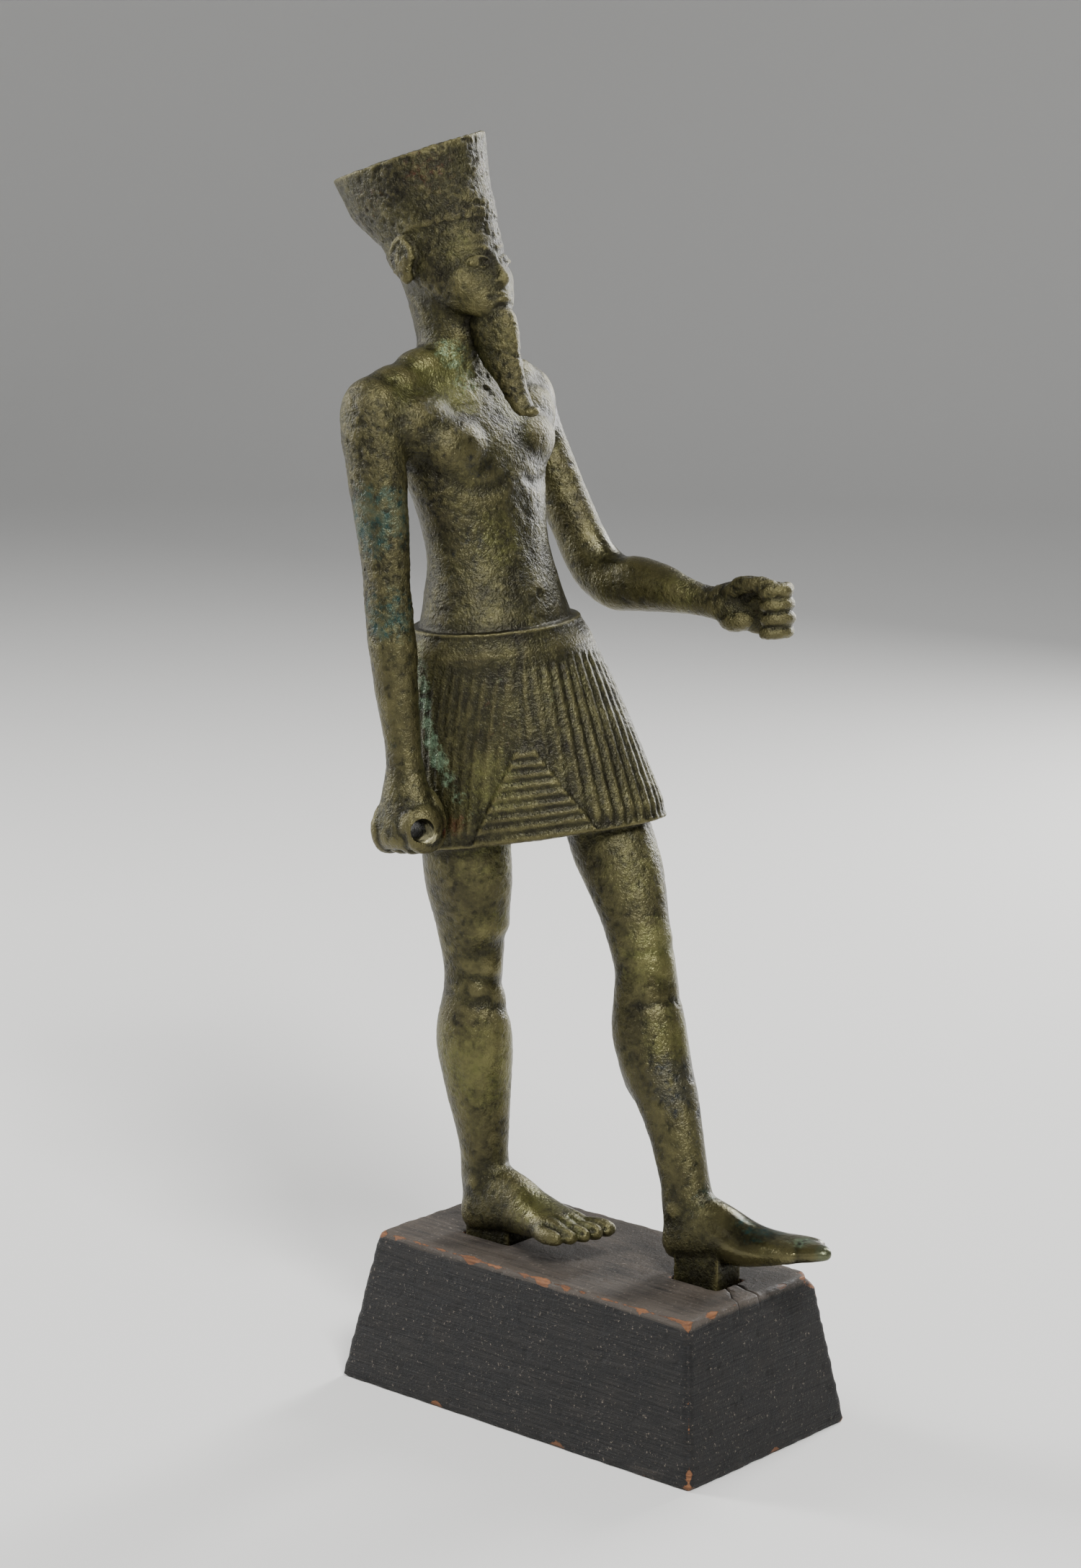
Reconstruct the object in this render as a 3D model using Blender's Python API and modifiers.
"""Striding bronze figure of a god in a flat-topped crown, mounted on a tapered wooden block.

The figure faces -Y and its right side is -X. The origin is the centre of the block's underside.
"""
import math

import bmesh
import bpy
from mathutils import Matrix, Vector

# Driving dimensions, in metres and degrees
FIGURE_HEIGHT = 0.350   # back foot's sole to the crown's flat top, along the figure
LEAN = 8.0              # how far the figure leans back on its tenons
BLOCK_WIDTH = 0.0807    # wooden block's underside, side to side
BLOCK_LENGTH = 0.1462   # wooden block's underside, front to back
BLOCK_HEIGHT = 0.0500
BLOCK_DRAW = 0.0086     # how far each side has leaned in at the top
BLOCK_EDGE = 0.0008     # worn rounding along the block's edges
CORNER_CHIP = 0.0050    # size of the largest broken corner
SMALL_CHIP = 0.0020     # and of the two smaller ones
STANDING_PLACE = 0.0300  # the figure's upright line stands this far behind the block's middle
TENON_WIDTH = 0.0120
FRONT_TENON_LENGTH = 0.0175
BACK_TENON_LENGTH = 0.0185
TENON_DEPTH = 0.0220    # how far a tenon goes down into the block
SLOT_PLAY = 0.0008      # room round a tenon in its slot
REST_GAP = 0.0003       # between two surfaces that touch
FIST_BORE = 0.0054      # the hole through the hanging fist, at its narrowest
BORE_MOUTH = 0.0070     # the same hole at its worn mouths

# The crown's top slopes: down to the back and to the figure's right, as rises per unit
CROWN_TOP = 348.2       # height at the crown's middle, in parts
CROWN_FALL_BACK = 0.145
CROWN_FALL_RIGHT = 0.170

# The figure's forms are drawn in parts, 350 to its height, upright and with +Z up its body
PART = FIGURE_HEIGHT / 350
SKIN_STEP = 1.25        # grid on which the forms melt together, in parts
BODY_FACES = 4900       # triangles left in the melted body
PLEATS = 50             # grooves round the kilt
TAB_RIBS = 9            # cross ribs on the kilt's hanging tab
TAB_RELIEF = 0.9        # how far the tab's ribs stand out, in parts
PLEAT_DEPTH = 0.8       # in parts
BELT_TOP = 200.0        # heights on the body, in parts
BELT_FOOT = 192.5
BELT_DIP = 2.8          # the belt sinks this much below the belly
BELT_TUCK = 2.0         # its top edge lies this much further in than its foot
HEM = 131.5
BELT_SHARE = (BELT_TOP - BELT_FOOT) / (BELT_FOOT - HEM)
WAIST = (29.5, 23.5)    # half width and half depth at the belt's foot, in parts
SKIRT_NARROWS = (6.5, 1.5)  # how much of each is gone at the hem
SKIRT_AXIS = (-13.5, -10.0)  # the skirt's middle: its y at the belt, and how far forward it moves
SEAT_SWELL = 3.2        # how far the seat stands out behind
HEM_TUCK = 1.2          # the hem turns in by this much
HEM_TURN = 0.9          # and starts to at this share of the skirt
STRIDE = -52.0          # the skirt is stretched this way by the advancing leg, in degrees
STRIDE_REACH = 19.0     # and by this much at the hem, in parts
STRIDE_RISE = 1.8       # the hem rises by this much where it is stretched
FRONT_TURN = (30.0, 22.0)  # the tab's panel faces this far to the right at the belt, and further at the hem
TAB_TOP = 0.53          # share of the skirt at which the tab starts
SOLE_BACK = 2.5         # height of the back foot's sole
SOLE_FRONT = -4.5       # the front foot's sole is lower
BACK_HEEL = (-7.7, 3)   # where each tenon comes out of its foot: x and y, in parts
FRONT_HEEL = (4, -73.5)
TENON_ROOT = 6          # how far a tenon runs up into the foot, in parts
BORE_MIDDLE = (-40.5, -5, 138.8)  # middle of the fist's hole, in parts
BORE_TURN = 25.0        # the hole turns outward, in degrees

# Ovals down each form: x, y, z of the middle, half width, half depth, forward turn in degrees
RIGHT_LEG = (
    (-14, -9, 162, 11, 12, 0), (-15, -6, 142, 13, 14.5, 0), (-15, -5, 122, 13.2, 15.2, 0),
    (-13, -3, 106, 11.2, 13, 0), (-12, -1, 93, 9.3, 10.4, 0), (-12, 0, 84, 8.9, 10.2, 0),
    (-11.5, 2, 73, 10.8, 12.8, 0), (-11, 3, 62, 11.4, 13.2, 0), (-10, 4, 46, 9.6, 10.8, 0),
    (-9.5, 4.5, 30, 7.6, 8.4, 0), (-9, 5.5, 20, 7.4, 8.6, 0), (-9, 5, 9, 7.6, 9, 0))
LEFT_LEG = (
    (13, -26, 162, 11, 12, 0), (14.5, -36, 142, 13, 13.5, 0), (14, -43, 122, 13.2, 14.4, 0),
    (12, -49.5, 104, 10.8, 11.4, 0), (10.5, -53.5, 88, 9.6, 10, 0), (10, -53.5, 81, 10, 10.6, 0),
    (9, -54, 68, 11, 12.6, 0), (8, -56.5, 56, 11, 11.8, 0), (6.5, -62, 42, 9, 10, 0),
    (5, -66, 25, 7.6, 8.4, 0), (4.5, -67.5, 14, 7.4, 8.8, 0), (4.5, -68, 3, 7.6, 9.4, 0))
TORSO = (
    (0, -13, 176, 20, 16, 0), (0, -13, 187, 26.5, 20.5, 0), (0, -13, 197, 28, 22.3, 0),
    (0, -13, 208, 25.5, 19.5, 0), (0, -13, 221, 23.2, 16.4, 0), (0, -12, 234, 24.6, 16.2, 0),
    (0, -10.5, 247, 28, 17, 0), (0, -8, 259, 30, 16.6, 0), (0, -5.5, 269, 30, 13.6, 0),
    (0, -5, 277, 23, 10.5, 0), (0, -5, 283, 14.5, 10.5, 0), (0, -6, 290, 11.2, 11.8, 0),
    (0, -5.4, 301, 11.6, 13, 0), (0, -5, 310, 12.4, 15, 0))
RIGHT_ARM = (
    (-35.5, -4, 274, 7, 8, 0), (-38.5, -4, 266, 9.8, 10, 0), (-39.5, -5, 254, 9.4, 10, 0),
    (-40, -5.5, 238, 8.2, 9.4, 0), (-40, -5.5, 222, 7.4, 8.2, 0), (-40, -5, 209, 7.4, 8, 0),
    (-40, -5, 197, 7.6, 8, 0), (-40, -5, 180, 6.8, 7, 0), (-40, -5.5, 163, 5.6, 6, 0),
    (-40, -5, 150, 6.4, 7.4, 0))
LEFT_ARM = (
    (34.5, -2, 274, 7, 8, 0), (36.5, -2, 266, 9.2, 9.8, 0), (38, -5, 254, 8.6, 9.6, 10),
    (39, -10.5, 240, 7.8, 9, 14), (39.5, -16.5, 226, 7.4, 8.6, 18), (40, -22, 214.5, 7.6, 9.2, 36),
    (40, -30.5, 207.4, 7.8, 9.2, 66), (40, -41.5, 206.4, 7.6, 9.1, 88), (40, -54, 204, 6.8, 7.8, 98),
    (39.5, -66, 200.5, 5.2, 5.7, 100), (39.5, -76, 198, 5.4, 6.2, 96))
RIGHT_FOOT = (
    (-9, 14.5, 7.5, 4, 4.5, 90), (-9, 11, 9, 7.2, 8, 90), (-9, 3, 12, 8, 12, 90),
    (-9.3, -7, 11.5, 7.8, 11, 90), (-10, -16, 8.5, 8.8, 8.2, 90), (-11, -24, 7, 10, 6, 90),
    (-11.8, -31, 6, 10.4, 4.6, 90), (-12, -35.5, 5.5, 8.6, 3, 90))
LEFT_FOOT = (
    (4.5, -58.5, 1, 4, 4.5, 90), (4.5, -62, 2.5, 7.2, 8, 90), (4.5, -71, 5, 8, 12, 90),
    (5, -81, 4, 7.8, 10.4, 90), (6, -91, 1, 8.6, 7.4, 90), (7.5, -100, -0.4, 9.8, 5.2, 90),
    (8.6, -107, -1, 10, 4, 90), (9, -112, -1.4, 8.4, 2.6, 90))
SKULL = (
    (0, -15, 298, 9, 14, -22), (0, -12.5, 303, 13.2, 18.3, -14), (0, -8.4, 310, 15.4, 20.4, -6),
    (0, -5.6, 318, 16, 20.6, 2), (0, -3.6, 326, 16.4, 20.8, 7), (0, -3, 332, 15, 19, 8))
CROWN = (
    (0, -4.1, 323.4, 17, 21.1, 8), (0, -1.3, 327.6, 17.8, 22.9, 8), (0, 2.4, 334, 19.8, 24.8, 8),
    (0, 4.5, 342, 21.6, 26, 8), (0, 8, 356, 24.6, 29, 8))
BEARD = (
    (0, -24.8, 300, 5.6, 7, 0), (0, -24.4, 293, 5.8, 8, 0), (0, -26, 282, 5, 6.7, 0),
    (0, -28.8, 275, 4.4, 4.9, 0), (0, -31.2, 269.5, 3.9, 4, 0), (0, -33.4, 264.6, 3.8, 3.2, 0))

# Rounded masses: x, y, z of the middle and the half sizes along x, y and z
MASSES = (
    (-13.5, -15.6, 254.5, 15, 9, 12.5), (13.5, -15.6, 254.5, 15, 9, 12.5),
    (0, -21.5, 205, 18, 11.5, 14), (0, -4, 272, 37, 10.8, 12),
    (-13, -4.5, 280.5, 12, 8.6, 7.2), (13, -4.5, 280.5, 12, 8.6, 7.2),
    (-25, -3.8, 276, 13, 8.8, 7.2), (25, -3.8, 276, 13, 8.8, 7.2),
    (-37, -3, 267.5, 10.8, 11, 12), (35.5, -2.5, 267.5, 10, 10.6, 12),
    (-12.5, -6.2, 88.5, 6, 4, 6.5), (10, -59.2, 84, 6, 4, 6.5),
    (-11.5, 6, 66, 9.5, 7.8, 21), (8.5, -51, 63, 9, 8, 21),
    (-15.2, 4.5, 19, 2.6, 3.2, 3.4), (-3, 3.5, 20, 2.6, 3.2, 3.4),
    (-1.6, -67, 13, 2.6, 3.2, 3.4), (10.6, -67.5, 12, 2.6, 3.2, 3.4),
    (-17, -3.2, 315, 2.6, 4.2, 6.8), (17, -3.2, 315, 2.6, 4.2, 6.8),
    (0, -29.4, 310.8, 2.6, 4, 5.6), (0, -29.6, 301.5, 5, 3.4, 2.6), (0, -28.2, 296.5, 5.4, 4.2, 3.6),
    (-8, -20.5, 306, 6, 5.5, 7), (8, -20.5, 306, 6, 5.5, 7))


def empty_scene():
    for thing in list(bpy.data.objects):
        bpy.data.objects.remove(thing, do_unlink=True)


def new_collection(name):
    group = bpy.data.collections.new(name)
    bpy.context.scene.collection.children.link(group)
    return group


def new_object(name, bm, group, parent=None):
    """Turn a bmesh into an object, with its faces out and its round forms smooth."""
    bmesh.ops.recalc_face_normals(bm, faces=bm.faces)
    mesh = bpy.data.meshes.new(name)
    bm.to_mesh(mesh)
    bm.free()
    mesh.shade_smooth()
    mesh.set_sharp_from_angle(angle=math.radians(35))
    thing = bpy.data.objects.new(name, mesh)
    group.objects.link(thing)
    thing.parent = parent
    return thing


def paint(thing, name, colour, roughness, metallic):
    material = bpy.data.materials.new(name)
    material.use_nodes = True
    shader = material.node_tree.nodes["Principled BSDF"]
    shader.inputs["Base Color"].default_value = (*colour, 1)
    shader.inputs["Roughness"].default_value = roughness
    shader.inputs["Metallic"].default_value = metallic
    thing.data.materials.append(material)


def flowing(stations, between):
    """Stations with more of them between, on a curve that passes through each."""
    ends = [stations[0], *stations, stations[-1]]
    for before, start, end, after in zip(ends, ends[1:], ends[2:], ends[3:]):
        for step in range(between):
            t = step / between
            yield [0.5 * (2 * b + (c - a) * t + (2 * a - 5 * b + 4 * c - d) * t * t
                          + (3 * b - a - 3 * c + d) * t ** 3)
                   for a, b, c, d in zip(before, start, end, after)]
    yield list(stations[-1])


def skin(bm, rings):
    """Faces between neighbouring rings, and a cap on each end."""
    loops = [[bm.verts.new(Vector(point) * PART) for point in ring] for ring in rings]
    count = len(loops[0])
    for lower, upper in zip(loops, loops[1:]):
        for i in range(count):
            j = (i + 1) % count
            bm.faces.new((lower[i], lower[j], upper[j], upper[i]))
    bm.faces.new(reversed(loops[0]))
    bm.faces.new(loops[-1])


def oval(x, y, z, wide, deep, turn, sides, sole=None):
    """Points round an oval that is turned forward about the side-to-side axis."""
    tilt = math.radians(turn)
    points = []
    for i in range(sides):
        angle = 2 * math.pi * i / sides
        back = deep * math.sin(angle)
        height = z - back * math.sin(tilt)
        if sole is not None:
            height = max(height, sole)
        points.append((x + wide * math.cos(angle), y + back * math.cos(tilt), height))
    return points


def loft(bm, stations, sides=24, between=3, sole=None):
    skin(bm, [oval(*station, sides, sole) for station in flowing(stations, between)])


def ball(bm, x, y, z, wide, deep, high):
    place = Matrix.Translation(Vector((x, y, z)) * PART) @ Matrix.Diagonal((wide, deep, high, 1))
    bmesh.ops.create_uvsphere(bm, u_segments=16, v_segments=10, radius=PART, matrix=place)


def toes(bm, side, ball_x, tip_y, sole):
    """Five toes from the big one, which is on the inner side."""
    spread = (7.4, 2.4, -1.8, -5.8, -9.6)
    reach = (0, 0.8, 2.8, 5.6, 9)
    for number, (offset, short) in enumerate(zip(spread, reach)):
        half = 2.9 if number == 0 else 2.15
        x = ball_x - side * offset
        loft(bm, ((x, tip_y + short + 13, sole + 3, half, 3, 90),
                  (x, tip_y + short + 6, sole + 3, half, 2.9, 90),
                  (x, tip_y + short + 2, sole + 2.6, half * 0.95, 2.5, 90),
                  (x, tip_y + short, sole + 2.4, half * 0.5, 1.2, 90)), 12, 2, sole)


def hanging_fist(bm):
    """Closed hand on a straight arm: four fingers wrap the bore from front to back."""
    loft(bm, ((-40, -5, 154, 6.6, 7.6, 0), (-40.3, -5, 147, 8.2, 10, 0), (-40.5, -5, 140, 9.6, 11, 0),
              (-40.5, -5, 134, 9.6, 11, 0), (-40.5, -5, 131, 7.6, 9.4, 0)))
    for number in range(4):
        y = -13 + 5.2 * number
        loft(bm, ((-46.2, y, 139, 2.2, 2.6, 0), (-45.6, y, 134.6, 3, 2.7, 0),
                  (-41.6, y, 132.8, 5, 2.7, 0), (-36, y, 133.4, 4.6, 2.7, 0)), 12, 2)
    loft(bm, ((-36, -13, 150, 3.4, 3.4, 0), (-35, -14.5, 144, 3.4, 3.2, 0),
              (-36.5, -15.5, 139.5, 3, 2.6, 0)), 12, 3)


def reaching_fist(bm):
    """Closed hand held forward: thumb along the top, fingers curled in, hollow on its inner side."""
    loft(bm, ((39.5, -74, 198.5, 5.2, 6.4, 96), (39.8, -79, 198, 6, 8, 96),
              (41, -85, 197, 6, 8.8, 94), (42, -92, 196.5, 4.6, 8.6, 92), (42, -96.5, 196.3, 3, 6.6, 90)))
    for number in range(4):
        z = 201.4 - 4.2 * number
        loft(bm, ((42.4, -92.5, z, 3.2, 2.3, 90), (40.4, -97.6, z, 4.2, 2.3, 90),
                  (37, -99.4, z, 3.2, 2.3, 90), (33.8, -96.6, z, 2.1, 2.1, 90)), 12, 2)
    loft(bm, ((38, -79, 203, 3.4, 3, 90), (36.4, -86, 204.2, 3.2, 2.6, 90),
              (35.8, -93.5, 203.6, 2.9, 2.5, 90), (36.2, -98, 202.6, 1.8, 1.8, 90)), 12, 3)


def body_forms():
    """Every soft form of the body, still as separate closed skins that run into each other."""
    bm = bmesh.new()
    for stations in (RIGHT_LEG, LEFT_LEG, TORSO, RIGHT_ARM, LEFT_ARM, SKULL, BEARD):
        loft(bm, stations)
    loft(bm, RIGHT_FOOT, sole=SOLE_BACK)
    loft(bm, LEFT_FOOT, sole=SOLE_FRONT)
    toes(bm, -1, -12, -43, SOLE_BACK)
    toes(bm, 1, 8.8, -119.5, SOLE_FRONT)
    for mass in MASSES:
        ball(bm, *mass)
    hanging_fist(bm)
    reaching_fist(bm)
    return bm


def kilt_point(down, angle, out):
    """A point on the kilt: down is 0 at the belt's foot and 1 at the hem, angle 0 is the front panel."""
    fall = max(down, 0.0)
    tuck = BELT_TUCK * min(down, 0.0) / BELT_SHARE - HEM_TUCK * max(down - HEM_TURN, 0) / (1 - HEM_TURN)
    around = math.radians(-90 - FRONT_TURN[0] - FRONT_TURN[1] * min(fall, 1) ** 0.6) + angle
    stride = math.radians(STRIDE)
    seat = SEAT_SWELL * math.sin(math.pi * min(1.5 * fall, 1)) * max(math.sin(around), 0)
    wide = WAIST[0] - SKIRT_NARROWS[0] * fall + tuck + out
    deep = WAIST[1] - SKIRT_NARROWS[1] * fall + seat + tuck + out
    along = STRIDE_REACH * fall ** 0.52 * math.cos(around - stride)
    x = wide * math.cos(around) + along * math.cos(stride)
    y = deep * math.sin(around) + along * math.sin(stride) + SKIRT_AXIS[0] + SKIRT_AXIS[1] * fall
    dip = BELT_DIP * max(1 - 2 * fall, 0) * math.cos(angle)
    rise = STRIDE_RISE * fall * math.cos(around - stride)
    return (x, y, BELT_FOOT + (HEM - BELT_FOOT) * down - dip + rise)


def kilt(group, parent):
    """Belt and pleated skirt as one closed loft; every third column is the foot of a groove."""
    pitch = 2 * math.pi / PLEATS
    columns = []
    for pleat in range(PLEATS):
        start = pitch * pleat
        columns += [(start, -PLEAT_DEPTH), (start + 0.22 * pitch, 0), (start + 0.78 * pitch, 0)]
    rows = [(-BELT_SHARE, -1.2, 0), (-BELT_SHARE, 0.5, 0), (-BELT_SHARE * 0.84, 1.1, 0),
            (-BELT_SHARE * 0.12, 1, 0), (0.01, 0.3, 0), (0.03, 0, 0.5)]
    rows += [(down, 0, 1) for down in (0.12, 0.3, 0.55, 0.985)]
    rows += [(1, -0.6, 0.5), (1, -4, 0)]
    bm = bmesh.new()
    skin(bm, [[kilt_point(down, angle, out + groove * carved) for angle, groove in columns]
              for down, out, carved in rows])
    return new_object("kilt", bm, group, parent)


def tab(group, parent):
    """The ribbed tab that widens down the front panel, a closed plate let into the kilt."""
    steps = TAB_RIBS * 2
    fronts, backs = [], []
    for row in range(steps + 1):
        share = row / steps
        half = math.radians(5 + 24 * share)
        out = TAB_RELIEF if row % 2 else 0.1
        down = TAB_TOP + (1 - TAB_TOP) * share
        across = [half * side for side in (-1, -0.5, 0, 0.5, 1)]
        fronts.append([kilt_point(down, angle, out) for angle in across])
        backs.append([kilt_point(down, angle, -3) for angle in reversed(across)])
    bm = bmesh.new()
    skin(bm, [front + back for front, back in zip(fronts, backs)])
    return new_object("tab", bm, group, parent)


def trim(bm, point, outward):
    """Cut away everything past a plane and close the cut."""
    geometry = bm.verts[:] + bm.edges[:] + bm.faces[:]
    cut = bmesh.ops.bisect_plane(bm, geom=geometry, plane_co=point, plane_no=outward, clear_outer=True)
    edges = [item for item in cut["geom_cut"] if isinstance(item, bmesh.types.BMEdge)]
    bmesh.ops.contextual_create(bm, geom=edges)


def crown(group, parent):
    """The flaring crown, cut off on a slant where its tall plumes are lost."""
    bm = bmesh.new()
    loft(bm, CROWN, 36, 1)
    middle = Vector((0, 5, CROWN_TOP)) * PART
    trim(bm, middle, Vector((-CROWN_FALL_RIGHT, CROWN_FALL_BACK, 1)).normalized())
    return new_object("crown", bm, group, parent)


def tenon_places():
    """Each tenon's middle on the block, its length, and the height of the sole above it."""
    lean = math.radians(LEAN)
    for x, y, sole, long in ((*BACK_HEEL, SOLE_BACK, BACK_TENON_LENGTH),
                             (*FRONT_HEEL, SOLE_FRONT, FRONT_TENON_LENGTH)):
        along = STANDING_PLACE + (y * math.cos(lean) + sole * math.sin(lean)) * PART
        height = BLOCK_HEIGHT + (sole * math.cos(lean) - y * math.sin(lean)) * PART
        yield x * PART, along, long, height


def upright_box(name, x, y, wide, long, low, high, group):
    place = Matrix.Translation((x, y, (low + high) / 2)) @ Matrix.Diagonal((wide, long, high - low, 1))
    bm = bmesh.new()
    bmesh.ops.create_cube(bm, size=1, matrix=place)
    return new_object(name, bm, group)


def tenons(group):
    return [upright_box("tenon", x, y, TENON_WIDTH, long, BLOCK_HEIGHT - TENON_DEPTH,
                        height + TENON_ROOT * PART, group)
            for x, y, long, height in tenon_places()]


def bore(group, parent):
    """The fist's hole, wider at its mouths, as a cutter that runs out of the hand at both ends."""
    middle, mouth = FIST_BORE / 2 / PART, BORE_MOUTH / 2 / PART
    bm = bmesh.new()
    skin(bm, [oval(0, y, 0, half, half, 90, 12) for y, half in
              ((-20, mouth * 1.4), (-9, mouth), (-4, middle), (4, middle), (9, mouth), (20, mouth * 1.4))])
    turn = Matrix.Rotation(math.radians(-BORE_TURN), 4, "Z")
    bmesh.ops.transform(bm, matrix=Matrix.Translation(Vector(BORE_MIDDLE) * PART) @ turn, verts=bm.verts)
    return new_object("bore", bm, group, parent)


def change(thing, kind, name, **settings):
    modifier = thing.modifiers.new(name, kind)
    for key, value in settings.items():
        setattr(modifier, key, value)


def hide(things):
    for thing in things:
        thing.hide_render = True
        thing.display_type = "WIRE"


def figure(pieces, cutters, stance):
    bm = body_forms()
    body = new_object("figure", bm, pieces, stance)
    change(body, "REMESH", "melt", mode="VOXEL", voxel_size=SKIN_STEP * PART, use_smooth_shade=True)
    change(body, "SMOOTH", "worn", factor=0.5, iterations=5)
    melted = body.evaluated_get(bpy.context.evaluated_depsgraph_get())
    triangles = sum(len(face.vertices) - 2 for face in melted.to_mesh().polygons)
    melted.to_mesh_clear()
    change(body, "DECIMATE", "facets", ratio=BODY_FACES / triangles)
    joined = [kilt(cutters, stance), tab(cutters, stance), crown(cutters, stance), *tenons(cutters)]
    for form in joined:
        change(body, "BOOLEAN", "join " + form.name, object=form, operation="UNION", solver="EXACT")
    hole = bore(cutters, stance)
    change(body, "BOOLEAN", "bore", object=hole, operation="DIFFERENCE", solver="EXACT")
    hide([*joined, hole])
    paint(body, "patinated_bronze", (0.10, 0.10, 0.055), 0.55, 0.6)
    return body


def wooden_base(pieces, cutters):
    """The tapered block, with worn edges, three broken corners and a slot for each tenon."""
    bm = bmesh.new()
    place = Matrix.Translation((0, 0, BLOCK_HEIGHT / 2))
    size = Matrix.Diagonal((BLOCK_WIDTH, BLOCK_LENGTH, BLOCK_HEIGHT, 1))
    bmesh.ops.create_cube(bm, size=1, matrix=place @ size)
    for vert in bm.verts:
        if vert.co.z > BLOCK_HEIGHT / 2:
            vert.co.x -= math.copysign(BLOCK_DRAW, vert.co.x)
            vert.co.y -= math.copysign(BLOCK_DRAW, vert.co.y)
    top_x = BLOCK_WIDTH / 2 - BLOCK_DRAW
    top_y = BLOCK_LENGTH / 2 - BLOCK_DRAW
    foot_x, foot_y = -BLOCK_WIDTH / 2, -BLOCK_LENGTH / 2
    for corner, outward, size in (((top_x, -top_y, BLOCK_HEIGHT), (1, -1, 0.8), CORNER_CHIP),
                                  ((-top_x, -top_y, BLOCK_HEIGHT), (-1, -1, 1), SMALL_CHIP),
                                  ((foot_x, foot_y, 0), (-1, -1, -1), SMALL_CHIP)):
        direction = Vector(outward).normalized()
        trim(bm, Vector(corner) - direction * size, direction)
    block = new_object("wooden_base", bm, pieces)
    change(block, "BEVEL", "worn edges", width=BLOCK_EDGE, segments=2, limit_method="ANGLE",
           angle_limit=math.radians(25))
    floor = BLOCK_HEIGHT - TENON_DEPTH - REST_GAP
    slots = [upright_box("slot", x, y, TENON_WIDTH + 2 * SLOT_PLAY, long + 2 * SLOT_PLAY, floor,
                         BLOCK_HEIGHT * 1.2, cutters) for x, y, long, height in tenon_places()]
    for slot in slots:
        change(block, "BOOLEAN", "cut " + slot.name, object=slot, operation="DIFFERENCE", solver="EXACT")
    hide(slots)
    paint(block, "black_painted_wood", (0.012, 0.012, 0.013), 0.6, 0.0)
    return block


def main():
    empty_scene()
    pieces = new_collection("striding_bronze_figure")
    cutters = new_collection("cutters")
    stance = bpy.data.objects.new("stance", None)
    pieces.objects.link(stance)
    stance.location = (0, STANDING_PLACE, BLOCK_HEIGHT)
    stance.rotation_euler.x = math.radians(-LEAN)
    figure(pieces, cutters, stance)
    wooden_base(pieces, cutters)


main()
